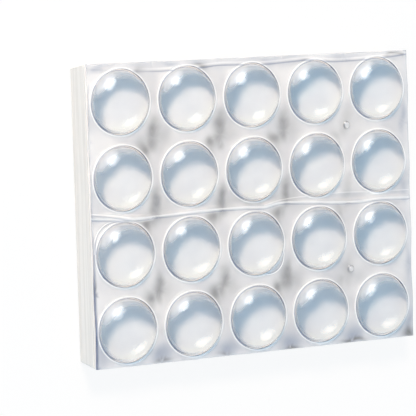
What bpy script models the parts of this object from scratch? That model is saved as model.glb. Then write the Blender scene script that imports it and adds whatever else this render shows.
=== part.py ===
"""A sheet of clear domed furniture pads on a thick backing block.

The sheet lies on its back with the domes up. X runs along the five columns, Y runs up the four rows, and the
origin is at the middle of the block's underside. All sizes are in metres.

From the bottom up: the backing block, the release liner, and on the liner the clear cast layer. That layer was
cast in one mould and then cut round each dome, so it comes apart into twenty pads and the film web left
between them.
"""

import math

import bmesh
import bpy
from mathutils import Vector

# Pads: how many, and the size of one
COLUMNS = 5
ROWS = 4
PAD_DIAMETER = 0.0127
PAD_HEIGHT = 0.0038
DOME_FULLNESS = 2.6  # 2 is half an ellipse; a larger value gives a flatter crown and steeper sides
PAD_FOOT_HEIGHT = 0.0004  # upright wall round the foot, where the blade cut the casting
PAD_FOOT_CHAMFER = 0.0002  # small step between that wall and the dome

# Film web between the pads
FILM_THICKNESS = 0.00035
FILM_BRIDGE = 0.0018  # film left between two neighbouring holes, at its narrowest
CUT_CLEARANCE = 0.0003  # all round each pad, between its foot and the hole in the film
FILM_SAG = 0.0003  # how much lower the film lies in the middle of four pads than beside one

# Film left outside the outer holes on each side of the sheet
STRIP_LEFT = 0.0004
STRIP_RIGHT = 0.0012
STRIP_TOP = 0.0010
STRIP_BOTTOM = 0.0006

# Crease where the sheet was once folded, half way up
CREASE_HEIGHT = 0.0004
CREASE_HALF_WIDTH = 0.0006
CREASE_WANDER = 0.0003  # how far the crease strays from a straight line
CREASE_BENDS = 1.5  # full waves of that line over the width of the sheet

# Casting pips, the two short stubs left where the mould was vented
PIP_DIAMETER = 0.0014
PIP_HEIGHT = 0.0005
PIP_JUNCTIONS = ((4, 1), (4, 3))  # each stands right of this column and below this row

# Liner and block
LINER_THICKNESS = 0.0002
BLOCK_THICKNESS = 0.0062
BLOCK_END_DRAFT = 0.0008  # how far the top and the bottom end slope in towards the back
BLOCK_SIDE_DRAFT = 0.0001  # the same for the left and the right side
BLOCK_EDGE_RADIUS = 0.0002

# Clearances between the layers
LINER_CLEARANCE = 0.0003  # between the block and the liner
ADHESIVE_THICKNESS = 0.0003  # between the liner and what sticks to it

# Mesh fineness
PAD_SEGMENTS = 24
DOME_STEPS = 5
FILM_CELLS_PER_PITCH = 4
PIP_SEGMENTS = 8

# Worked out from the sizes above
PAD_RADIUS = PAD_DIAMETER / 2
HOLE_RADIUS = PAD_RADIUS + CUT_CLEARANCE
PITCH = 2 * HOLE_RADIUS + FILM_BRIDGE
SHEET_WIDTH = (COLUMNS - 1) * PITCH + 2 * HOLE_RADIUS + STRIP_LEFT + STRIP_RIGHT
SHEET_LENGTH = (ROWS - 1) * PITCH + 2 * HOLE_RADIUS + STRIP_TOP + STRIP_BOTTOM
FIRST_COLUMN_X = -SHEET_WIDTH / 2 + STRIP_LEFT + HOLE_RADIUS
FIRST_ROW_Y = SHEET_LENGTH / 2 - STRIP_TOP - HOLE_RADIUS
LINER_BOTTOM = BLOCK_THICKNESS + LINER_CLEARANCE
LINER_TOP = LINER_BOTTOM + LINER_THICKNESS
CAST_BOTTOM = LINER_TOP + ADHESIVE_THICKNESS
CREASE_Y = FIRST_ROW_Y - (ROWS - 1) / 2 * PITCH


def clear_scene():
    for obj in list(bpy.data.objects):
        bpy.data.objects.remove(obj, do_unlink=True)


def new_collection(name):
    collection = bpy.data.collections.new(name)
    bpy.context.scene.collection.children.link(collection)
    return collection


def plain_material(name, colour, roughness, transmission=0.0):
    material = bpy.data.materials.new(name)
    material.use_nodes = True
    shader = material.node_tree.nodes["Principled BSDF"]
    shader.inputs["Base Color"].default_value = (*colour, 1.0)
    shader.inputs["Roughness"].default_value = roughness
    shader.inputs["Metallic"].default_value = 0.0
    shader.inputs["Transmission Weight"].default_value = transmission
    shader.inputs["IOR"].default_value = 1.49
    return material


def object_from_bmesh(bm, name, collection, material=None):
    mesh = bpy.data.meshes.new(name)
    bm.to_mesh(mesh)
    bm.free()
    if material:
        mesh.materials.append(material)
    obj = bpy.data.objects.new(name, mesh)
    collection.objects.link(obj)
    return obj


def hide_tool(obj):
    """Marks a cutter or a joined shape as a tool and not a part."""
    obj.hide_render = True
    obj.display_type = "WIRE"


def pad_place(column, row):
    """Centre of a pad's foot; columns and rows count from 1 at the top left."""
    x = FIRST_COLUMN_X + (column - 1) * PITCH
    y = FIRST_ROW_Y - (row - 1) * PITCH
    return Vector((x, y, CAST_BOTTOM))


def backing_block(collection, material):
    """The thick block, a little smaller at the back than at the front."""
    bm = bmesh.new()
    bmesh.ops.create_cube(bm, size=1.0)
    bmesh.ops.translate(bm, vec=(0, 0, 0.5), verts=bm.verts)
    bmesh.ops.scale(bm, vec=(SHEET_WIDTH, SHEET_LENGTH, BLOCK_THICKNESS), verts=bm.verts)
    back = [v for v in bm.verts if v.co.z < BLOCK_THICKNESS / 2]
    shrink = (1 - 2 * BLOCK_SIDE_DRAFT / SHEET_WIDTH, 1 - 2 * BLOCK_END_DRAFT / SHEET_LENGTH, 1)
    bmesh.ops.scale(bm, vec=shrink, verts=back)
    block = object_from_bmesh(bm, "backing_block", collection, material)
    rounding = block.modifiers.new("rounded edges", "BEVEL")
    rounding.width = BLOCK_EDGE_RADIUS
    rounding.segments = 2
    return block


def release_liner(collection, material):
    """The thin coated sheet that the adhesive lets go of."""
    bm = bmesh.new()
    bmesh.ops.create_cube(bm, size=1.0)
    bmesh.ops.scale(bm, vec=(SHEET_WIDTH, SHEET_LENGTH, LINER_THICKNESS), verts=bm.verts)
    liner = object_from_bmesh(bm, "release_liner", collection, material)
    liner.location.z = LINER_BOTTOM + LINER_THICKNESS / 2
    return liner


def pad_profile():
    """Half section of a pad from the crown down to its foot and in to the axis, as (radius, height)."""
    dome_radius = PAD_RADIUS - PAD_FOOT_CHAMFER
    dome_rise = PAD_HEIGHT - PAD_FOOT_HEIGHT
    points = []
    for step in range(DOME_STEPS + 1):
        angle = math.pi / 2 * step / DOME_STEPS
        radius = dome_radius * math.sin(angle) ** (2 / DOME_FULLNESS)
        points.append((radius, PAD_FOOT_HEIGHT + dome_rise * math.cos(angle)))
    points.append((PAD_RADIUS, PAD_FOOT_HEIGHT - PAD_FOOT_CHAMFER))
    points.append((PAD_RADIUS, 0.0))
    points.append((0.0, 0.0))
    return points


def pad_mesh(material):
    """One clear dome, turned from its half section; all the pads share this mesh."""
    bm = bmesh.new()
    verts = [bm.verts.new((radius, 0.0, height)) for radius, height in pad_profile()]
    for upper, lower in zip(verts, verts[1:]):
        bm.edges.new((upper, lower))
    mesh = bpy.data.meshes.new("pad")
    bm.to_mesh(mesh)
    bm.free()
    mesh.materials.append(material)
    return mesh


def clear_pad(column, row, mesh, collection):
    pad = bpy.data.objects.new(f"pad_r{row}_c{column}", mesh)
    collection.objects.link(pad)
    pad.location = pad_place(column, row)
    turning = pad.modifiers.new("turned", "SCREW")
    turning.angle = math.tau
    turning.steps = PAD_SEGMENTS
    turning.render_steps = PAD_SEGMENTS
    turning.use_merge_vertices = True
    turning.merge_threshold = 0.00001
    turning.use_smooth_shade = True
    return pad


def crease_line(x):
    """Y of the crease at this X."""
    return CREASE_Y + CREASE_WANDER * math.sin(math.tau * CREASE_BENDS * x / SHEET_WIDTH)


def film_rise(x, y):
    """Height of the film's underside above the adhesive: up beside the pads, down between four of them."""
    across = (x - FIRST_COLUMN_X) / PITCH
    along = (FIRST_ROW_Y - y) / PITCH
    junction = (1 - math.cos(math.tau * across)) * (1 - math.cos(math.tau * along)) / 4
    fold = max(0.0, 1 - abs(y - crease_line(x)) / CREASE_HALF_WIDTH)
    return FILM_SAG * (1 - junction) + CREASE_HEIGHT * fold


def film_sheet():
    """The film before it is cut, as one open surface with an edge loop on each line of the crease."""
    bm = bmesh.new()
    cells = (FILM_CELLS_PER_PITCH * COLUMNS, FILM_CELLS_PER_PITCH * ROWS)
    bmesh.ops.create_grid(bm, x_segments=cells[0], y_segments=cells[1], size=0.5)
    bmesh.ops.scale(bm, vec=(SHEET_WIDTH, SHEET_LENGTH, 1), verts=bm.verts)
    for side in (-1, 0, 1):
        bmesh.ops.bisect_plane(
            bm,
            geom=bm.verts[:] + bm.edges[:] + bm.faces[:],
            plane_co=(0, CREASE_Y + side * CREASE_HALF_WIDTH, 0),
            plane_no=(0, 1, 0),
        )
    for vert in bm.verts:
        if abs(vert.co.y - CREASE_Y) < CREASE_HALF_WIDTH + CUT_CLEARANCE:
            vert.co.y += crease_line(vert.co.x) - CREASE_Y
        vert.co.z = film_rise(vert.co.x, vert.co.y)
    return bm


def hole_cutter(column, row, collection):
    """A tall cylinder through the film, wider than the pad by the cut's clearance."""
    bm = bmesh.new()
    bmesh.ops.create_cone(
        bm,
        cap_ends=True,
        segments=PAD_SEGMENTS,
        radius1=HOLE_RADIUS,
        radius2=HOLE_RADIUS,
        depth=4 * (FILM_SAG + CREASE_HEIGHT + FILM_THICKNESS),
    )
    cutter = object_from_bmesh(bm, f"cut_r{row}_c{column}", collection)
    cutter.location = pad_place(column, row)
    hide_tool(cutter)


def casting_pip(column, row, collection):
    """A rounded stub on the film, half way to the next column and the next row."""
    bm = bmesh.new()
    bmesh.ops.create_uvsphere(
        bm, u_segments=PIP_SEGMENTS, v_segments=PIP_SEGMENTS // 2 + 1, radius=PIP_DIAMETER / 2
    )
    sink = FILM_THICKNESS / 2
    bmesh.ops.scale(bm, vec=(1, 1, (PIP_HEIGHT + sink) / (PIP_DIAMETER / 2)), verts=bm.verts)
    floor = bmesh.ops.bisect_plane(
        bm,
        geom=bm.verts[:] + bm.edges[:] + bm.faces[:],
        plane_co=(0, 0, 0),
        plane_no=(0, 0, -1),
        clear_outer=True,
    )
    bmesh.ops.contextual_create(bm, geom=[g for g in floor["geom_cut"] if isinstance(g, bmesh.types.BMEdge)])
    bmesh.ops.recalc_face_normals(bm, faces=bm.faces)
    pip = object_from_bmesh(bm, f"pip_r{row}_c{column}", collection)
    place = pad_place(column, row) + Vector((PITCH / 2, -PITCH / 2, 0))
    place.z += film_rise(place.x, place.y) + sink
    pip.location = place
    hide_tool(pip)


def film_web(collection, material, cutters, pips):
    """The film left between the pads, with its sag, its crease and its pips."""
    web = object_from_bmesh(film_sheet(), "film_web", collection, material)
    web.location.z = CAST_BOTTOM
    wall = web.modifiers.new("film thickness", "SOLIDIFY")
    wall.thickness = FILM_THICKNESS
    wall.offset = 1.0
    stubs = web.modifiers.new("pips", "BOOLEAN")
    stubs.operation = "UNION"
    stubs.operand_type = "COLLECTION"
    stubs.collection = pips
    holes = web.modifiers.new("holes", "BOOLEAN")
    holes.operation = "DIFFERENCE"
    holes.operand_type = "COLLECTION"
    holes.collection = cutters
    return web


def build():
    clear_scene()
    parts = new_collection("furniture_pad_sheet")
    cutters = new_collection("hole_cutters")
    pips = new_collection("casting_pips")

    block_white = plain_material("block_white", (0.84, 0.83, 0.80), 0.75)
    liner_white = plain_material("liner_white", (0.86, 0.87, 0.88), 0.45)
    clear_pad_resin = plain_material("clear_pad_resin", (0.93, 0.96, 0.98), 0.04, transmission=1.0)
    clear_film = plain_material("clear_film", (0.94, 0.95, 0.96), 0.12, transmission=0.9)

    backing_block(parts, block_white)
    release_liner(parts, liner_white)
    dome = pad_mesh(clear_pad_resin)
    for row in range(1, ROWS + 1):
        for column in range(1, COLUMNS + 1):
            clear_pad(column, row, dome, parts)
            hole_cutter(column, row, cutters)
    for column, row in PIP_JUNCTIONS:
        casting_pip(column, row, pips)
    film_web(parts, clear_film, cutters, pips)


build()
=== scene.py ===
"""The looks of a sheet of clear domed pads on its backing block, around its solid model."""

import math
import random

import bmesh
import bpy
from mathutils import Euler, Matrix, Vector, noise


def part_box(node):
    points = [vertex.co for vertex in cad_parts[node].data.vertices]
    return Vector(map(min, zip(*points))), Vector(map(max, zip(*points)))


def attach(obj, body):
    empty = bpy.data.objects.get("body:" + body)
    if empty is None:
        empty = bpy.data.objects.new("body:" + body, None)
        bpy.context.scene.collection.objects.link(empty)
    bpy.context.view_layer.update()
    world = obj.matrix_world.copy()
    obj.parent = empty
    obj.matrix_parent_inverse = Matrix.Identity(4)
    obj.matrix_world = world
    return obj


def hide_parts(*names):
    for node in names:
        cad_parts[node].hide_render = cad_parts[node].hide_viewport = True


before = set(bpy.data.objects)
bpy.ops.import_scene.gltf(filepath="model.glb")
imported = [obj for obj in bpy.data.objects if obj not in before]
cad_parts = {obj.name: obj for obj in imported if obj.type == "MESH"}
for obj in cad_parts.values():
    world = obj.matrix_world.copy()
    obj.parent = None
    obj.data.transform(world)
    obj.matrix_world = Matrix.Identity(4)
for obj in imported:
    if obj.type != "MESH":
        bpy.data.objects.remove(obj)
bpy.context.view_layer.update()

COLUMNS = 5
ROWS = 4
MM = 0.001

# Read off the solid model
first_low, first_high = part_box("pad_r1_c1")
last_low, last_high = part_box(f"pad_r{ROWS}_c{COLUMNS}")
web_low, web_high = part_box("film_web")
liner_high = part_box("release_liner")[1]
PAD_RADIUS = (first_high.x - first_low.x) / 2
PAD_FOOT_Z = first_low.z
PAD_HEIGHT = first_high.z - first_low.z
FIRST_PAD = (first_low + first_high) / 2
LAST_PAD = (last_low + last_high) / 2
PITCH = (LAST_PAD.x - FIRST_PAD.x) / (COLUMNS - 1)
GRID_MIDDLE = (FIRST_PAD + LAST_PAD) / 2
LINER_TOP_Z = liner_high.z

# Pads
PAD_FOOT_HEIGHT = 0.4 * MM
PAD_FOOT_CHAMFER = 0.15 * MM
DOME_FULLNESS = 2.6
DOME_STEPS = 36
PAD_SPIN_STEPS = 128
PAD_BOND_DEPTH = 0.004 * MM  # the adhesive under a pad wets the liner
PAD_TILT = math.radians(0.8)
SHARP_ANGLE = math.radians(40)
UNDERSIDE_SLOPE = -0.5
SHADE_DEPTH_SPREAD = 0.6  # how much deeper one pad's painted blue shade may be than the next one's
SHADE_DEPTH_STEP = 0.1  # and how much it deepens from column to column

# Share of the lamps' light that a pad lets straight through, by how steep its surface is
CROWN_SLOPE = 0.93
SHOULDER_SLOPE = 0.80
WALL_SLOPE = 0.45
WALL_SHARE = 0.55
SLOPE_WANDER = 0.04

# How hazy a pad's surface is on its steep sides and cut foot, with a painted sheen on its upper left and a
# painted lighter band along its top, which stand in for the lamps' reflection and for light through its
# wall.
# A span gives the values at which a share starts and is full.
HAZE_SLOPE = 0.70
FULL_HAZE_SLOPE = 0.36
LEFT_SHADE_SHIFT = 0.3  # painted shade: a surface that faces left has to be steeper to be as hazy, so the left side stays darker
STEEP_HAZE = 0.55
# painted lighter band along the top, standing in for light through the wall
TOP_PAINTED_LIGHT = 0.3
TOP_SLOPE_SPAN = (0.90, 0.70)
TOP_FACING_SPAN = (0.1, 0.6)
CROWN_SPAN = (0.6, 0.95)
CUT_HAZE = 0.45
# Painted sheen on the upper left, standing in for the lamps' reflection; its colours and roughness also
# serve the haze
SHEEN_WAY = Vector((-0.61, 0.67, 0.42))
SHEEN_SPAN = (0.80, 0.98)
PAINTED_SHEEN = 0.6
HAZE_AND_SHEEN_COLOURS = ((0.90, 0.90, 0.93), (0.97, 0.97, 0.98))
HAZE_AND_SHEEN_ROUGHNESS = 0.35
GLOW_SHARE = 0.3
# Painted dark shade on the cut foot, in the groove round each pad
FOOT_SHADE_COLOUR = (0.50, 0.58, 0.76)

# The clear resin's slight cast of colour, painted in two tones by side: painted blue shade on the side
# towards the lamps, and another tone away from it
PAD_TINTS_AND_SHADES = ((0.95, 0.98, 1.0), (0.79, 0.87, 0.96))
PIP_TINTS_AND_SHADES = ((0.95, 0.96, 0.98), (1.0, 1.0, 1.0))
# Painted blue shade: the way its surfaces face, where it starts and is full, how unevenly, and its deepest
# colour
SHADE_SIDE_WAY = Vector((-0.55, 0.83, 0))
SHADE_SIDE_SPAN = (-0.15, 0.35)
SHADE_SIDE_WANDER = 0.35
DEEP_SHADE_TINT = (0.71, 0.895, 1.0)
LIGHT_POOL_WAY = Vector((0.45, -0.82, 0.35))  # painted pool of light, on the side that gathers the lamp light
LIGHT_POOL_SPAN = (0.40, 0.8)
LIGHT_POOL_TINT = (0.87, 0.97, 1.0)
RESIN_ROUGHNESS = (0.02, 0.12)
RESIN_IOR = 1.49

# Casting pips on the film
PIP_RADIUS = 0.8 * MM
# painted highlight on the pip's crown
PIP_CROWN_HIGHLIGHT = 0.75
PIP_HEIGHT = 0.5 * MM
PIP_FOOT_HEIGHT = 0.02 * MM
PIP_FOOT_CHAMFER = 0.01 * MM
PIP_FULLNESS = 2.2
PIP_STEPS = 12
PIP_SPIN_STEPS = 48
PIP_SINK = 0.1 * MM
PIP_PLACES = ((22.75, 15.4), (22.8, -14.5))  # mm right and up from the middle of the sheet

# Film web
CUT_CLEARANCE = 0.12 * MM
HOLE_RADIUS = PAD_RADIUS + CUT_CLEARANCE
FILM_THICKNESS = 0.35 * MM
FILM_SAG = 0.3 * MM
RING_SEGMENTS = 96
RING_COUNT = 18
RING_CROWDING = 1.35
LIP_HEIGHT = 0.10 * MM
LIP_WIDTH = 0.9  # mm
FILM_WAVES = ((0.09, 0.22, 0), (0.03, 0.8, 9))  # height in mm, waves per mm, layer of the noise
FILM_IOR = 1.45
FILM_ROUGHNESS = (0.08, 0.16)
FILM_CLEARNESS = 0.35
FILM_LAMP_SHARE = 0.9
FILM_COLOURS = ((0.755, 0.775, 0.815), (0.87, 0.89, 0.92))
# Painted cool and grey shade for the film's soft patches
COOL_SHADE_COLOUR = (0.48, 0.53, 0.63)
GREY_SHADE_COLOUR = (0.27, 0.275, 0.28)
# painted pool of light on the film
LIGHT_POOL_COLOUR = (0.97, 0.98, 1.0)
# Painted highlight and painted shade colours for the film's lines
HIGHLIGHT_COLOUR = (0.99, 0.985, 0.975)
SHADE_COLOUR = (0.17, 0.22, 0.35)
# Painted pool of light on the film beside each hole, towards its lower right
RIM_LIGHT_POOL = 0.3
RIM_LIGHT_POOL_SPAN = (1.9, 0.2)  # mm from the edge of a hole
RIM_LIGHT_POOL_DIRECTION = -50
RIM_FACING_SPAN = (0.3, 1.0)
RIPPLE_DEPTH = 0.06 * MM

# Creases in the film, as mm right and up from the middle of the sheet
MAIN_CREASE = (
    (-37.6, 0.0), (-28, -0.54), (-21, -0.35), (-13, -0.05), (-2.4, 0.0), (2, -0.2),
    (6, 0.4), (11, 0.2), (23.5, -0.6), (30.5, -0.3), (37.7, -0.55),
)
CREASE_FORK = ((-37.6, 0.9), (-33, 0.3), (-28, -0.54), (-24, -0.5))
SECOND_CREASE = ((2, 0.0), (6, 0.8), (11, 1.25), (20.6, 1.5), (29, 1.25), (37.7, 1.05))
MARGIN_FOLD = (
    (-37.6, 29.4), (-31, 28.9), (-22, 28.4), (-13, 28.6), (-7.2, 29.0), (2.7, 28.75),
    (14, 29.2), (19, 28.7), (25.6, 28.7), (32.6, 29.05), (37.7, 29.45),
)
FOLD_SHARE_SPAN = (-30.0, -18.0)  # the painted highlight and shade lines of the fold are fainter at its left end

# How far each of them stands up from the film, and its half width, in mm
CREASE_RIDGES = (
    (MAIN_CREASE, 0.22, 0.5),
    (CREASE_FORK, 0.15, 0.45),
    (SECOND_CREASE, 0.10, 0.45),
    (MARGIN_FOLD, 0.12, 0.5),
)

# Painted highlight and painted shade lines on the film, along its creases, folds and hole rims: whose
# distance counts, middle and half width in mm, strength, and what scales it
HIGHLIGHT_LINES = (
    ("crease_off", 0.0, 0.24, 0.7, None),
    ("fork_off", 0.0, 0.2, 0.7, None),
    ("second_off", 0.0, 0.2, 0.4, None),
    ("fold_off", 0.45, 0.4, 0.35, "fold_share"),
    ("arc_off", 0.0, 0.18, 1.0, None),
    ("rim_off", 0.18, 0.32, 1.0, "rim_highlight"),
)
SHADE_LINES = (
    ("crease_off", -0.36, 0.22, 0.5, None),
    ("fork_off", -0.32, 0.2, 0.4, None),
    ("fold_off", -0.05, 0.25, 0.55, "fold_share"),
    ("arc_off", -0.3, 0.2, 0.5, None),
    ("rim_off", 0.0, 0.17, 1.0, "rim_shade"),
)

# Loose folds beside pads, only painted as arcs of highlight and shade, as (column, row, first and last
# direction in degrees, reach in mm)
LOOSE_FOLDS = ((1, 3, 85, 185, 0.95), (3, 3, -75, -15, 1.3))
NO_FOLD = 9.0

# Camera, placed from the middle of the pads
CAMERA_PLACE = Vector((-276.9, 43.7, 465.5)) * MM
CAMERA_TURN = Euler((math.radians(-3.595), math.radians(-29.895), math.radians(-2.060)))
CAMERA_LENS = 231.1
SENSOR_WIDTH = 36.0
CLIP_START = 0.05

# Lamps, all as far from the sheet; a way is an azimuth and a height in degrees.
# The key and the focus are one lamp in two parts: clear pieces only pass the focus on.
LAMP_DISTANCE = 0.60
KEY_WAY = (117.0, 46.0)
KEY_SIZE = 0.12
KEY_POWER = 1.8
KEY_COLOUR = (1.0, 0.77, 0.56)
FOCUS_POWER = 1.0
FILL_WAY = (182.0, 12.0)
FILL_SIZE = 0.5
FILL_POWER = 0.6
UPPER_WAY = (110.0, 27.0)
UPPER_SIZE = (0.55, 0.95)
UPPER_POWER = 35.0
LOWER_WAY = (-50.0, 31.0)
LOWER_SIZE = (0.5, 0.5)
LOWER_POWER = 5.0
LOWER_COLOUR = (1.0, 0.96, 0.88)
GLINT_FADE = 0.45  # how far in from its rim a glint lamp fades, where its middle is 0.5 away
WORLD_COLOUR = (0.58, 0.80, 1.0)
WORLD_STRENGTH = 0.75
FLOOR_SIZE = 1.5
FLOOR_COLOURS = ((0.89, 0.89, 0.89), (0.91, 0.91, 0.91))
FLOOR_ROUGHNESS = 0.9
FLOOR_GLOW = 0.88  # share of plain white in what the camera sees of the floor


def pad_place(column, row):
    """Middle of a pad's foot; columns and rows count from 1 at the top left."""
    right = (column - 1) * PITCH
    down = (row - 1) * PITCH
    return Vector((FIRST_PAD.x + right, FIRST_PAD.y - down, PAD_FOOT_Z))


def piece_from_bmesh(bm, name, material):
    mesh = bpy.data.meshes.new(name)
    bm.to_mesh(mesh)
    bm.free()
    mesh.materials.append(material)
    piece = bpy.data.objects.new(name, mesh)
    bpy.context.scene.collection.objects.link(piece)
    return piece


def smooth_step(low, high, value):
    share = min(max((value - low) / (high - low), 0.0), 1.0)
    return share * share * (3 - 2 * share)


# Materials

def new_material(name):
    material = bpy.data.materials.new(name)
    material.use_nodes = True
    return material, material.node_tree


def plug(tree, value, socket):
    if isinstance(value, bpy.types.NodeSocket):
        tree.links.new(value, socket)
    else:
        socket.default_value = value


def sum_up(tree, operation, *values):
    node = tree.nodes.new("ShaderNodeMath")
    node.operation = operation
    for value, socket in zip(values, node.inputs):
        plug(tree, value, socket)
    return node.outputs[0]


def attribute(tree, name):
    node = tree.nodes.new("ShaderNodeAttribute")
    node.attribute_name = name
    return node.outputs["Fac"]


def blend(tree, share, first, second):
    """A colour between two colours."""
    node = tree.nodes.new("ShaderNodeMix")
    node.data_type = "RGBA"
    colours = [socket for socket in node.inputs if socket.type == "RGBA"]
    plug(tree, share, node.inputs[0])
    for value, socket in zip((first, second), colours):
        plug(tree, value if isinstance(value, bpy.types.NodeSocket) else (*value, 1), socket)
    return next(socket for socket in node.outputs if socket.type == "RGBA")


def spread(tree, value, low, high, new_low, new_high):
    node = tree.nodes.new("ShaderNodeMapRange")
    node.interpolation_type = "SMOOTHSTEP"
    for item, socket in zip((value, low, high, new_low, new_high), node.inputs):
        plug(tree, item, socket)
    return node.outputs[0]


def clouds(tree, size, stretch=(1, 1, 1), detail=2.0):
    """Noise from 0 to 1, in soft patches of this size in mm."""
    place = tree.nodes.new("ShaderNodeTexCoord")
    stretched = tree.nodes.new("ShaderNodeMapping")
    stretched.inputs["Scale"].default_value = stretch
    texture = tree.nodes.new("ShaderNodeTexNoise")
    texture.inputs["Scale"].default_value = 1 / (size * MM)
    texture.inputs["Detail"].default_value = detail
    tree.links.new(place.outputs["Object"], stretched.inputs["Vector"])
    tree.links.new(stretched.outputs[0], texture.inputs["Vector"])
    return spread(tree, texture.outputs["Fac"], 0.3, 0.7, 0.0, 1.0)


def band(tree, offset, centre, half_width):
    """1 where the offset is at the centre, easing to 0 at half the width away."""
    away = sum_up(tree, "ABSOLUTE", sum_up(tree, "SUBTRACT", offset, centre))
    return spread(tree, away, half_width, 0.0, 0.0, 1.0)


def strongest(tree, values):
    result = values[0]
    for value in values[1:]:
        result = sum_up(tree, "MAXIMUM", result, value)
    return result


def bumps(tree, height, depth, shader):
    node = tree.nodes.new("ShaderNodeBump")
    node.inputs["Distance"].default_value = depth
    tree.links.new(height, node.inputs["Height"])
    tree.links.new(node.outputs[0], shader.inputs["Normal"])


def mix_shaders(tree, share, first, second):
    node = tree.nodes.new("ShaderNodeMixShader")
    plug(tree, share, node.inputs["Fac"])
    tree.links.new(first.outputs[0], node.inputs[1])
    tree.links.new(second.outputs[0], node.inputs[2])
    return node


def light_path(tree, output):
    return tree.nodes.new("ShaderNodeLightPath").outputs[output]


def let_lamps_through(tree, shader, share):
    """Let this share of the lamp light straight through to what lies behind a clear piece."""
    clear = tree.nodes.new("ShaderNodeBsdfTransparent")
    factor = sum_up(tree, "MULTIPLY", light_path(tree, "Is Shadow Ray"), share)
    mix = mix_shaders(tree, factor, shader, clear)
    tree.links.new(mix.outputs[0], tree.nodes["Material Output"].inputs["Surface"])


def clear_resin(name, shade_side_tint, other_tint):
    """Water-clear cast resin with a slight cast of colour and hazy where it was cut or is steep, with
    painted blue shade on the side towards the lamps, a painted pool of light away from them, a painted
    sheen, a painted lighter top band and painted dark shade on its cut foot.
    """
    material, tree = new_material(name)
    resin = tree.nodes["Principled BSDF"]
    # painted blue shade on the side towards the lamps, deeper on some pads
    wander = sum_up(tree, "MULTIPLY", clouds(tree, 6), SHADE_SIDE_WANDER)
    side = sum_up(tree, "SUBTRACT", attribute(tree, "shade_side_share"), wander)
    shade_depth = attribute(tree, "shade_depth_share")
    tint = blend(tree, side, other_tint, blend(tree, shade_depth, shade_side_tint, DEEP_SHADE_TINT))
    # painted pool of light on the side that gathers the lamp light
    plug(tree, blend(tree, attribute(tree, "light_pool_share"), tint, LIGHT_POOL_TINT), resin.inputs["Base Color"])
    softness = sum_up(tree, "SUBTRACT", clouds(tree, 5), shade_depth)
    plug(tree, spread(tree, softness, -1.0, 1.0, *RESIN_ROUGHNESS), resin.inputs["Roughness"])
    resin.inputs["IOR"].default_value = RESIN_IOR
    resin.inputs["Transmission Weight"].default_value = 1.0
    bumps(tree, clouds(tree, 3), RIPPLE_DEPTH, resin)
    cut = tree.nodes.new("ShaderNodeBsdfPrincipled")
    # haze colour, also used for the painted sheen and the painted lighter top band
    haze_and_sheen_colour = blend(tree, clouds(tree, 1.5), *HAZE_AND_SHEEN_COLOURS)
    # painted dark shade on the cut foot
    haze_and_sheen_colour = blend(tree, attribute(tree, "wall_share"), haze_and_sheen_colour, FOOT_SHADE_COLOUR)
    plug(tree, haze_and_sheen_colour, cut.inputs["Base Color"])
    cut.inputs["Roughness"].default_value = HAZE_AND_SHEEN_ROUGHNESS
    glow = tree.nodes.new("ShaderNodeBsdfTranslucent")
    plug(tree, haze_and_sheen_colour, glow.inputs["Color"])
    frosted = mix_shaders(tree, GLOW_SHARE, cut, glow)
    hazed = mix_shaders(tree, attribute(tree, "haze_and_sheen_share"), resin, frosted)
    let_lamps_through(tree, hazed, attribute(tree, "lamp_share"))
    return material


def drawn_lines(tree, lines):
    """How strongly the strongest of these lines marks each point of the film."""
    marks = []
    for offset, centre, half_width, strength, scale in lines:
        if scale:
            strength = sum_up(tree, "MULTIPLY", attribute(tree, scale), strength)
        line = band(tree, attribute(tree, offset), centre, half_width)
        marks.append(sum_up(tree, "MULTIPLY", line, strength))
    return strongest(tree, marks)


def clear_film():
    """Clear cast film, hazy over the liner, with painted highlight and shade lines along its creases, folds
    and cut edges, soft patches of painted shade, and painted pools of light beside the pads.
    """
    material, tree = new_material("clear_film")
    film = tree.nodes["Principled BSDF"]
    haze = blend(tree, clouds(tree, 6, detail=1), *FILM_COLOURS)
    # painted cool and grey shade in soft patches
    cooled = blend(tree, attribute(tree, "cool_shade"), haze, COOL_SHADE_COLOUR)
    greyed = blend(tree, attribute(tree, "grey_shade"), cooled, GREY_SHADE_COLOUR)
    # painted pool of light beside the pads
    toned = blend(tree, attribute(tree, "light_pool_tone"), greyed, LIGHT_POOL_COLOUR)
    # painted highlights and painted shade along creases, folds and hole rims
    painted_highlight = drawn_lines(tree, HIGHLIGHT_LINES)
    # with the painted shadow along the film's left border
    painted_shade = strongest(tree, [drawn_lines(tree, SHADE_LINES), attribute(tree, "edge_shadow")])
    lined = blend(tree, painted_highlight, toned, HIGHLIGHT_COLOUR)
    plug(tree, blend(tree, painted_shade, lined, SHADE_COLOUR), film.inputs["Base Color"])
    plug(tree, spread(tree, clouds(tree, 3), 0.0, 1.0, *FILM_ROUGHNESS), film.inputs["Roughness"])
    film.inputs["IOR"].default_value = FILM_IOR
    # the painted highlight lines let less light through, so that they show whiter
    clearness = spread(tree, painted_highlight, 0.0, 1.0, FILM_CLEARNESS, 0.0)
    plug(tree, clearness, film.inputs["Transmission Weight"])
    relief = sum_up(tree, "ADD", clouds(tree, 5), sum_up(tree, "MULTIPLY", painted_highlight, 0.3))
    bumps(tree, relief, RIPPLE_DEPTH, film)
    let_lamps_through(tree, film, FILM_LAMP_SHARE)
    return material


def mottled(name, size, stretch, colours, roughness, depth):
    """A plain opaque stuff between two near colours, in patches of this size in mm."""
    material, tree = new_material(name)
    shader = tree.nodes["Principled BSDF"]
    pattern = clouds(tree, size, stretch)
    plug(tree, blend(tree, pattern, *colours), shader.inputs["Base Color"])
    plug(tree, spread(tree, pattern, 0.0, 1.0, roughness, roughness + 0.1), shader.inputs["Roughness"])
    bumps(tree, pattern, depth, shader)
    return material


# Pads and pips

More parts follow.
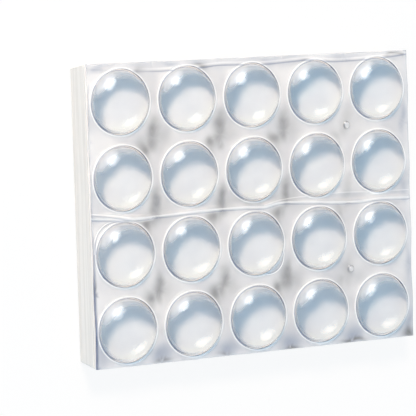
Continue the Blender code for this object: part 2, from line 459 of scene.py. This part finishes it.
def lamp_share(slope):
    """All the lamp light passes the crown, none the shoulder and some the steep wall."""
    crown = smooth_step(SHOULDER_SLOPE, CROWN_SLOPE, slope)
    wall = WALL_SHARE * smooth_step(WALL_SLOPE, 0.0, slope)
    return max(crown, wall)


def dome_profile(radius, height, foot, chamfer, fullness, steps):
    """Half section of a dome from its crown down to the edge of its foot, as (radius, height)."""
    points = []
    for step in range(steps + 1):
        angle = math.pi / 2 * step / steps
        out = (radius - chamfer) * math.sin(angle) ** (2 / fullness)
        points.append((out, foot + (height - foot) * math.cos(angle)))
    points.append((radius, foot - chamfer))
    return points


def mark_dome(bm, place, foot, depth, crown_highlight):
    """Give each point of a dome its shares of haze with painted sheen and highlight, of lamp light, of
    painted blue shade and of a painted pool of light.
    """
    share = bm.verts.layers.float.new("lamp_share")
    haze = bm.verts.layers.float.new("haze_and_sheen_share")
    shade_side = bm.verts.layers.float.new("shade_side_share")
    light_pool = bm.verts.layers.float.new("light_pool_share")
    wall = bm.verts.layers.float.new("wall_share")
    shade_depth = bm.verts.layers.float.new("shade_depth_share")
    for vert in bm.verts:
        normal = vert.normal
        wander = SLOPE_WANDER * noise.noise((vert.co + place) / (3 * MM))
        vert[shade_depth] = depth
        # painted pool of light
        vert[light_pool] = smooth_step(*LIGHT_POOL_SPAN, normal.dot(LIGHT_POOL_WAY))
        if normal.z < UNDERSIDE_SLOPE:
            vert[share] = 1.0
            continue
        # painted blue shade on the side towards the lamps
        vert[shade_side] = smooth_step(*SHADE_SIDE_SPAN, normal.dot(SHADE_SIDE_WAY))
        if vert.co.z > foot:
            # painted shade: left-facing surfaces need to be steeper to be as hazy, so they stay darker
            shift = LEFT_SHADE_SHIFT * min(normal.x, 0)
            # painted lighter band along the top
            top = smooth_step(*TOP_SLOPE_SPAN, normal.z) * smooth_step(*TOP_FACING_SPAN, normal.y)
            vert[share] = lamp_share(normal.z + wander)
            vert[haze] = max(
                STEEP_HAZE * smooth_step(HAZE_SLOPE + shift, FULL_HAZE_SLOPE + shift, normal.z),
                TOP_PAINTED_LIGHT * top,
                # painted sheen on the upper left
                PAINTED_SHEEN * smooth_step(*SHEEN_SPAN, normal.dot(SHEEN_WAY)),
                # painted highlight on a pip's crown
                crown_highlight * smooth_step(*CROWN_SPAN, normal.z),
            )
        else:
            vert[share] = WALL_SHARE
            vert[haze] = CUT_HAZE
            vert[wall] = 1.0


def clear_dome(name, place, profile, base, foot, spin_steps, tilt, depth, crown_highlight, material):
    """A solid of revolution whose crown leans by the tilt while its base stays where it is."""
    bm = bmesh.new()
    closed = profile + [(profile[-1][0], base), (0.0, base)]
    verts = [bm.verts.new((radius, 0, height)) for radius, height in closed]
    edges = [bm.edges.new(pair) for pair in zip(verts, verts[1:])]
    bmesh.ops.spin(
        bm,
        geom=verts + edges,
        cent=(0, 0, 0),
        axis=(0, 0, 1),
        angle=math.tau,
        steps=spin_steps,
        use_merge=True,
    )
    bmesh.ops.remove_doubles(bm, verts=bm.verts, dist=1e-7)
    bmesh.ops.recalc_face_normals(bm, faces=bm.faces)
    bm.normal_update()
    mark_dome(bm, place, foot, depth, crown_highlight)
    top = profile[0][1]
    for vert in bm.verts:
        vert.co = vert.co.lerp(tilt @ vert.co, smooth_step(0.0, top, vert.co.z))
    bmesh.ops.translate(bm, vec=place, verts=bm.verts)
    for face in bm.faces:
        face.smooth = True
    piece = piece_from_bmesh(bm, name, material)
    piece.data.set_sharp_from_angle(angle=SHARP_ANGLE)
    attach(piece, "root")
    return piece


def pad(column, row, material):
    """One pad down to the liner, leaning a little and with its own depth of painted blue shade."""
    tilt = Matrix.Rotation(random.uniform(-1, 1) * PAD_TILT, 3, "X")
    tilt = tilt @ Matrix.Rotation(random.uniform(-1, 1) * PAD_TILT, 3, "Y")
    depth = random.uniform(0.0, SHADE_DEPTH_SPREAD) + SHADE_DEPTH_STEP * (column - 1)
    name = f"pad_r{row}_c{column}"
    profile = dome_profile(
        PAD_RADIUS, PAD_HEIGHT, PAD_FOOT_HEIGHT, PAD_FOOT_CHAMFER, DOME_FULLNESS, DOME_STEPS
    )
    piece = clear_dome(
        f"{name}_clear",
        pad_place(column, row),
        profile,
        base=LINER_TOP_Z - PAD_BOND_DEPTH - PAD_FOOT_Z,
        foot=PAD_FOOT_HEIGHT,
        spin_steps=PAD_SPIN_STEPS,
        tilt=tilt,
        depth=depth,
        crown_highlight=0.0,
        material=material,
    )
    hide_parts(name)


def pip(number, right, up, material):
    """A small dome of resin that the casting left on the film, hazy with a painted highlight on its crown.
    """
    place = Vector((GRID_MIDDLE.x + right * MM, GRID_MIDDLE.y + up * MM, 0))
    place.z = PAD_FOOT_Z + film_rise(place) + FILM_THICKNESS
    profile = dome_profile(
        PIP_RADIUS, PIP_HEIGHT, PIP_FOOT_HEIGHT, PIP_FOOT_CHAMFER, PIP_FULLNESS, PIP_STEPS
    )
    clear_dome(
        f"pip_{number}_clear",
        place,
        profile,
        base=-PIP_SINK,
        foot=0.0,
        spin_steps=PIP_SPIN_STEPS,
        tilt=Matrix.Identity(3),
        depth=0.0,
        crown_highlight=PIP_CROWN_HIGHLIGHT,
        material=material,
    )


# Film web

def line_height(points, x):
    """Height up the sheet of a crease at X, both in mm, on a smooth curve through its points."""
    if x <= points[0][0]:
        return points[0][1]
    for index in range(len(points) - 1):
        x0, y0 = points[index]
        x1, y1 = points[index + 1]
        if x <= x1:
            before = points[max(index - 1, 0)]
            after = points[min(index + 2, len(points) - 1)]
            slope0 = (y1 - before[1]) / (x1 - before[0])
            slope1 = (after[1] - y0) / (after[0] - x0)
            width = x1 - x0
            share = (x - x0) / width
            rest = 1 - share
            eased = share * share * (3 - 2 * share)
            bend = width * share * rest * (slope0 * rest - slope1 * share)
            return y0 + (y1 - y0) * eased + bend
    return points[-1][1]


def crease_offset(x, y, points):
    """Signed distance in mm from a crease, growing past its ends."""
    beyond = max(points[0][0] - x, x - points[-1][0], 0.0)
    off = y - line_height(points, x)
    return off + math.copysign(beyond, off)


def ridge(offset, half_width):
    return math.exp(-((offset / half_width) ** 2))


def film_place(place):
    """Where a point is on the sheet, in mm right and up from its middle."""
    return (place.x - GRID_MIDDLE.x) / MM, (place.y - GRID_MIDDLE.y) / MM


def nearest_pad(x, y):
    """Distance in mm from the edge of the nearest hole, its direction and its column and row."""
    pitch = PITCH / MM
    column = min(max(round(x / pitch + (COLUMNS + 1) / 2), 1), COLUMNS)
    row = min(max(round((ROWS + 1) / 2 - y / pitch), 1), ROWS)
    right = x - (column - (COLUMNS + 1) / 2) * pitch
    up = y - ((ROWS + 1) / 2 - row) * pitch
    return math.hypot(right, up) - HOLE_RADIUS / MM, math.degrees(math.atan2(up, right)), column, row


def film_rise(place):
    """Height of the film's underside above the pads' feet."""
    x, y = film_place(place)
    pitch = PITCH / MM
    across = 1 - math.cos(math.tau * (x / pitch + (COLUMNS - 1) / 2))
    along = 1 - math.cos(math.tau * (y / pitch + (ROWS - 1) / 2))
    rise = FILM_SAG * (1 - across * along / 4)
    rise += LIP_HEIGHT * (1 - smooth_step(0.0, LIP_WIDTH, nearest_pad(x, y)[0]))
    for crease, height, half_width in CREASE_RIDGES:
        rise += height * MM * ridge(crease_offset(x, y, crease), half_width)
    for height, frequency, layer in FILM_WAVES:
        rise += height * MM * noise.noise(Vector((x, y, layer)) * frequency)
    return rise


# Soft patches of painted shade in the film, as (mm right, mm up, reach across, reach along, strength),
# and how far their outlines wander in mm, with how many waves per mm
PATCH_WANDER = 0.8
PATCH_WAVES = 0.35
COOL_SHADE_PATCHES = (
    (-36.2, -27.0, 1.2, 3.0, 0.6), (-22.7, -28.0, 2.4, 2.1, 0.95), (-7.4, -28.4, 2.5, 1.9, 1.0),
    (7.6, -28.6, 2.5, 1.8, 1.0), (23.0, -28.6, 2.3, 1.9, 0.95), (36.9, -26.5, 1.1, 2.6, 0.9),
    (36.6, 16.5, 0.7, 3.4, 0.75), (36.8, 1.6, 0.7, 2.6, 0.6), (37.2, -14.6, 0.6, 3.4, 0.7),
    (36.6, -6.0, 0.8, 2.5, 0.4), (-34.8, 29.3, 2.0, 0.6, 0.7), (-18.4, 29.7, 2.0, 0.5, 0.6),
    (4.6, 29.3, 2.8, 0.5, 0.6), (22.7, 29.2, 2.2, 0.6, 0.6), (-36.5, 0.2, 1.4, 0.35, 0.5),
    (-22.6, 1.8, 0.8, 2.0, 0.45), (-7.4, 1.6, 0.7, 2.0, 0.4), (22.6, 1.2, 1.6, 0.8, 0.35),
    (-3.0, 29.2, 30.0, 0.9, 0.22),
)
GREY_SHADE_PATCHES = (
    (-11.6, 28.9, 1.3, 0.45, 0.8), (12.9, 28.9, 1.0, 0.4, 0.5), (35.6, 29.6, 2.6, 0.28, 0.9),
    (-26.0, 28.8, 1.2, 0.5, 0.4), (-37.2, -13.9, 0.35, 1.8, 0.9), (37.3, -29.0, 1.2, 0.9, 1.0),
    (22.8, -29.5, 2.6, 0.4, 1.0), (8.0, -29.7, 1.8, 0.4, 0.9), (-7.4, 12.6, 0.9, 0.7, 0.5),
    (-8.0, -29.5, 1.6, 0.35, 0.6), (-22.4, -29.4, 1.6, 0.35, 0.75), (-32.5, 27.6, 1.0, 0.8, 0.35),
    (20.3, -2.6, 1.0, 0.6, 0.4), (0.0, 1.3, 7.0, 1.0, 0.4), (-30.0, -1.4, 5.0, 0.6, 0.3),
)


def patch(x, y, patches):
    """Strength of the strongest soft patch at a point, with uneven outlines."""
    x += PATCH_WANDER * noise.noise(Vector((x, y, 4)) * PATCH_WAVES)
    y += PATCH_WANDER * noise.noise(Vector((x, y, 14)) * PATCH_WAVES)
    return max(
        strength * math.exp(-(((x - right) / across) ** 2) - ((y - up) / along) ** 2)
        for right, up, across, along, strength in patches
    )


# Painted shade beside a four-pad junction, as (mm right, mm up, reach, strength)
JUNCTION_SHADE = (
    (0.1, 3.4, 1.2, 0.45), (0.0, 2.0, 1.4, 0.75), (-0.1, 0.7, 1.5, 0.75), (-0.5, -0.7, 1.5, 0.65),
    (-1.1, -1.5, 1.2, 0.45), (-2.4, -1.8, 1.35, 0.8), (-2.4, -3.4, 1.2, 0.4), (1.6, 0.2, 2.2, 0.3),
)
JUNCTION_SHADE_LIFTS = (0.0, 1.2, -0.9)  # mm that the streak is moved up, from the top row of junctions down
JUNCTION_SHADE_WANDER = 0.3
STREAK_BOTTOM = -1  # what is lower than this in a junction's painted shade isn't moved
JUNCTION_SHADE_LENGTH = 1.15  # reach up the sheet for a reach of 1 across it
FAINT_JUNCTION_SHADE = 0.45


def junction_shade_patches():
    """Painted shade where the film dips: a grey streak above each four-pad junction and a spot at its lower
    left.
    """
    patches = []
    for row in range(1, ROWS):
        for column in range(1, COLUMNS):
            corner = pad_place(column, row) + Vector((PITCH / 2, -PITCH / 2, 0))
            x, y = film_place(corner)
            weight = FAINT_JUNCTION_SHADE if column == COLUMNS - 1 else 1.0
            lift = JUNCTION_SHADE_LIFTS[row - 1] + random.uniform(-JUNCTION_SHADE_WANDER, JUNCTION_SHADE_WANDER)
            for right, up, reach, strength in JUNCTION_SHADE:
                shade = weight * strength * random.uniform(0.85, 1.0)
                raised = y + up + (lift if up > STREAK_BOTTOM else 0.0)
                patches.append((x + right, raised, reach, reach * JUNCTION_SHADE_LENGTH, shade))
    return patches


def cell_reach(column, row):
    """How far one pad's share of the web reaches right, left, up and down from the pad's middle."""
    half = PITCH / 2
    middle = pad_place(column, row)
    right = web_high.x - middle.x if column == COLUMNS else half
    left = middle.x - web_low.x if column == 1 else half
    up = web_high.y - middle.y if row == 1 else half
    down = middle.y - web_low.y if row == ROWS else half
    return right, left, up, down


def web_cell(bm, column, row):
    """Rings of film from the edge of one hole out to the square share of that hole."""
    middle = pad_place(column, row)
    right, left, up, down = cell_reach(column, row)
    ring = bmesh.ops.create_circle(bm, segments=RING_SEGMENTS, radius=HOLE_RADIUS)["verts"]
    edges = list({edge for vert in ring for edge in vert.link_edges})
    starts = [vert.co.copy() for vert in ring]
    ends = []
    for start in starts:
        unit = start / max(abs(start.x), abs(start.y))
        across = unit.x * (right if unit.x > 0 else left)
        along = unit.y * (up if unit.y > 0 else down)
        ends.append(Vector((across, along, 0)))
    order = {vert: index for index, vert in enumerate(ring)}
    cell = list(ring)
    for step in range(1, RING_COUNT + 1):
        grown = bmesh.ops.extrude_edge_only(bm, edges=edges)["geom"]
        edges = [item for item in grown if isinstance(item, bmesh.types.BMEdge)]
        outer = {}
        for vert in (item for item in grown if isinstance(item, bmesh.types.BMVert)):
            inner = next(edge.other_vert(vert) for edge in vert.link_edges if edge.other_vert(vert) in order)
            outer[vert] = order[inner]
        edges = [edge for edge in edges if all(vert in outer for vert in edge.verts)]
        share = (step / RING_COUNT) ** RING_CROWDING
        for vert, index in outer.items():
            vert.co = starts[index].lerp(ends[index], share)
        order = outer
        cell += outer
    bmesh.ops.translate(bm, vec=(middle.x, middle.y, 0), verts=cell)


def arc_offset(rim, direction, column, row):
    """Distance in mm from the painted arc of a loose fold, which starts and ends 0.1 mm from a hole beside
    some pads.
    """
    for fold_column, fold_row, first, last, reach in LOOSE_FOLDS:
        if (column, row) == (fold_column, fold_row) and first < direction < last:
            turn = math.pi * (direction - first) / (last - first)
            return rim - reach * math.sin(turn) - 0.1
    return NO_FOLD


def edge_shade(x, y):
    """Painted shadow along the film's left border, in the gap against the block, which only shows along its
    lower part.
    """
    low = smooth_step(4.0, -20.0, y)
    border = smooth_step(0.45 + 0.2 * low, 0.1, x - film_place(web_low)[0])
    return border * (0.15 + 0.75 * low + 0.3 * noise.noise(Vector((0, y * 0.35, 3))))


FILM_LAYERS = (
    "rim_off", "rim_highlight", "rim_shade", "light_pool_tone", "arc_off", "crease_off", "fork_off",
    "second_off", "fold_off", "fold_share", "edge_shadow", "grey_shade", "cool_shade",
)


def film_marks(x, y, junction_shades):
    """What the film's shader has to know of a point, in the order of the film's layers."""
    rim, direction, column, row = nearest_pad(x, y)
    facing = math.cos(math.radians(2 * (direction - 45)))
    light_pool_side = math.cos(math.radians(direction - RIM_LIGHT_POOL_DIRECTION))
    return (
        rim,
        # painted highlight and painted shade round each hole, by which side of it a point is on
        0.85 - 0.15 * facing,
        0.5 + 0.45 * facing,
        # painted pool of light beside each hole
        RIM_LIGHT_POOL * smooth_step(*RIM_LIGHT_POOL_SPAN, rim) * smooth_step(*RIM_FACING_SPAN, light_pool_side),
        arc_offset(rim, direction, column, row),
        crease_offset(x, y, MAIN_CREASE),
        crease_offset(x, y, CREASE_FORK),
        crease_offset(x, y, SECOND_CREASE),
        crease_offset(x, y, MARGIN_FOLD),
        0.2 + 0.8 * smooth_step(*FOLD_SHARE_SPAN, x),
        edge_shade(x, y),
        # painted grey shade patches and painted shade at the pad junctions
        max(patch(x, y, GREY_SHADE_PATCHES), patch(x, y, junction_shades)),
        patch(x, y, COOL_SHADE_PATCHES),
    )


def film_web(material):
    """The film between the pads, in square cells with a hole each, welded along their borders."""
    bm = bmesh.new()
    for row in range(1, ROWS + 1):
        for column in range(1, COLUMNS + 1):
            web_cell(bm, column, row)
    bmesh.ops.remove_doubles(bm, verts=bm.verts, dist=1e-6)
    layers = [bm.verts.layers.float.new(name) for name in FILM_LAYERS]
    junction_shades = junction_shade_patches()
    for vert in bm.verts:
        x, y = film_place(vert.co)
        for layer, value in zip(layers, film_marks(x, y, junction_shades)):
            vert[layer] = value
        vert.co.z = PAD_FOOT_Z + film_rise(vert.co)
    bmesh.ops.recalc_face_normals(bm, faces=bm.faces)
    for face in bm.faces:
        face.smooth = True
    piece = piece_from_bmesh(bm, "film_web_clear", material)
    wall = piece.modifiers.new("thickness", "SOLIDIFY")
    wall.thickness = FILM_THICKNESS
    wall.offset = 1.0
    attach(piece, "root")
    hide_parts("film_web")


# Camera, lamps and floor

def camera():
    lens = bpy.data.cameras.new("camera")
    lens.lens = CAMERA_LENS
    lens.sensor_width = SENSOR_WIDTH
    lens.clip_start = CLIP_START
    viewer = bpy.data.objects.new("camera", lens)
    bpy.context.scene.collection.objects.link(viewer)
    viewer.location = Vector((GRID_MIDDLE.x, GRID_MIDDLE.y, PAD_FOOT_Z)) + CAMERA_PLACE
    viewer.rotation_euler = CAMERA_TURN
    bpy.context.scene.camera = viewer


def lamp(name, way, size, power, colour=(1, 1, 1)):
    """A soft box that looks at the sheet from this azimuth and height in degrees."""
    light = bpy.data.lights.new(name, "AREA")
    light.shape = "RECTANGLE"
    light.size, light.size_y = size
    light.energy = power
    light.color = colour
    box = bpy.data.objects.new(name, light)
    bpy.context.scene.collection.objects.link(box)
    azimuth, height = (math.radians(angle) for angle in way)
    towards = Vector(
        (math.cos(azimuth) * math.cos(height), math.sin(azimuth) * math.cos(height), math.sin(height))
    )
    box.location = GRID_MIDDLE + towards * LAMP_DISTANCE
    box.rotation_euler = towards.to_track_quat("Z", "Y").to_euler()
    box.visible_camera = False
    return box


def soften(box, reach):
    """Let the box fade out towards its rim, and show only where no matt surface lies between."""
    box.data.use_nodes = True
    tree = box.data.node_tree
    surface = tree.nodes.new("ShaderNodeNewGeometry").outputs["Parametric"]
    away = tree.nodes.new("ShaderNodeVectorMath")
    away.operation = "DISTANCE"
    tree.links.new(surface, away.inputs[0])
    away.inputs[1].default_value = (0.5, 0.5, 0)
    glow = next(node for node in tree.nodes if node.type == "EMISSION")
    direct = sum_up(tree, "LESS_THAN", light_path(tree, "Diffuse Depth"), 0.5)
    fading = spread(tree, away.outputs["Value"], 0.5, 0.5 - reach, 0.0, 1.0)
    plug(tree, sum_up(tree, "MULTIPLY", direct, fading), glow.inputs["Strength"])


def lights():
    key = lamp("key", KEY_WAY, (KEY_SIZE, KEY_SIZE), KEY_POWER, KEY_COLOUR)
    focus = lamp("focus", KEY_WAY, (KEY_SIZE, KEY_SIZE), FOCUS_POWER, KEY_COLOUR)
    fill = lamp("fill", FILL_WAY, (FILL_SIZE, FILL_SIZE), FILL_POWER)
    for box in (key, focus, fill):
        box.visible_glossy = False
    key.visible_transmission = False
    fill.visible_transmission = False
    upper = lamp("upper_glint", UPPER_WAY, UPPER_SIZE, UPPER_POWER)
    lower = lamp("lower_glint", LOWER_WAY, LOWER_SIZE, LOWER_POWER, LOWER_COLOUR)
    for box in (upper, lower):
        soften(box, GLINT_FADE)
        box.visible_diffuse = False
        box.visible_transmission = False


def studio_world():
    """White where the camera looks, straight or through clear pieces, and a cool ambient for all else."""
    world = bpy.data.worlds.new("studio")
    bpy.context.scene.world = world
    world.use_nodes = True
    tree = world.node_tree
    ambient = tree.nodes["Background"]
    ambient.inputs["Color"].default_value = (*WORLD_COLOUR, 1)
    ambient.inputs["Strength"].default_value = WORLD_STRENGTH
    white = tree.nodes.new("ShaderNodeBackground")
    white.inputs["Color"].default_value = (1, 1, 1, 1)
    rays = ("Is Camera Ray", "Is Glossy Ray", "Is Transmission Ray")
    seen = strongest(tree, [light_path(tree, ray) for ray in rays])
    direct = sum_up(tree, "LESS_THAN", light_path(tree, "Diffuse Depth"), 0.5)
    mix = mix_shaders(tree, sum_up(tree, "MULTIPLY", seen, direct), ambient, white)
    tree.links.new(mix.outputs[0], tree.nodes["World Output"].inputs["Surface"])


def floor():
    bm = bmesh.new()
    bmesh.ops.create_grid(bm, x_segments=1, y_segments=1, size=FLOOR_SIZE)
    material, tree = new_material("white_floor")
    shader = tree.nodes["Principled BSDF"]
    plug(tree, blend(tree, clouds(tree, 60), *FLOOR_COLOURS), shader.inputs["Base Color"])
    shader.inputs["Roughness"].default_value = FLOOR_ROUGHNESS
    glow = tree.nodes.new("ShaderNodeEmission")
    glow.inputs["Strength"].default_value = 1.0
    share = sum_up(tree, "MULTIPLY", light_path(tree, "Is Camera Ray"), FLOOR_GLOW)
    mix = mix_shaders(tree, share, shader, glow)
    tree.links.new(mix.outputs[0], tree.nodes["Material Output"].inputs["Surface"])
    piece_from_bmesh(bm, "floor", material)


def repaint(node, material):
    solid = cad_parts[node]
    solid.data.materials.clear()
    solid.data.materials.append(material)


random.seed(20)
bpy.context.scene.view_settings.view_transform = "Standard"
camera()
lights()
studio_world()
floor()
resin = clear_resin("clear_resin", *PAD_TINTS_AND_SHADES)
for row in range(1, ROWS + 1):
    for column in range(1, COLUMNS + 1):
        pad(column, row, resin)
film_web(clear_film())
pip_resin = clear_resin("clear_pip", *PIP_TINTS_AND_SHADES)
for number, (right, up) in enumerate(PIP_PLACES, 1):
    pip(number, right, up, pip_resin)
repaint("release_liner", mottled(
    "liner_white",
    size=4,
    stretch=(1, 1, 1),
    colours=((0.91, 0.91, 0.92), (0.96, 0.96, 0.96)),
    roughness=0.45,
    depth=0.02 * MM,
))
repaint("backing_block", mottled(
    "block_white",
    size=0.6,
    stretch=(0.02, 0.02, 1),
    colours=((0.75, 0.715, 0.67), (0.84, 0.805, 0.765)),
    roughness=0.75,
    depth=0.04 * MM,
))
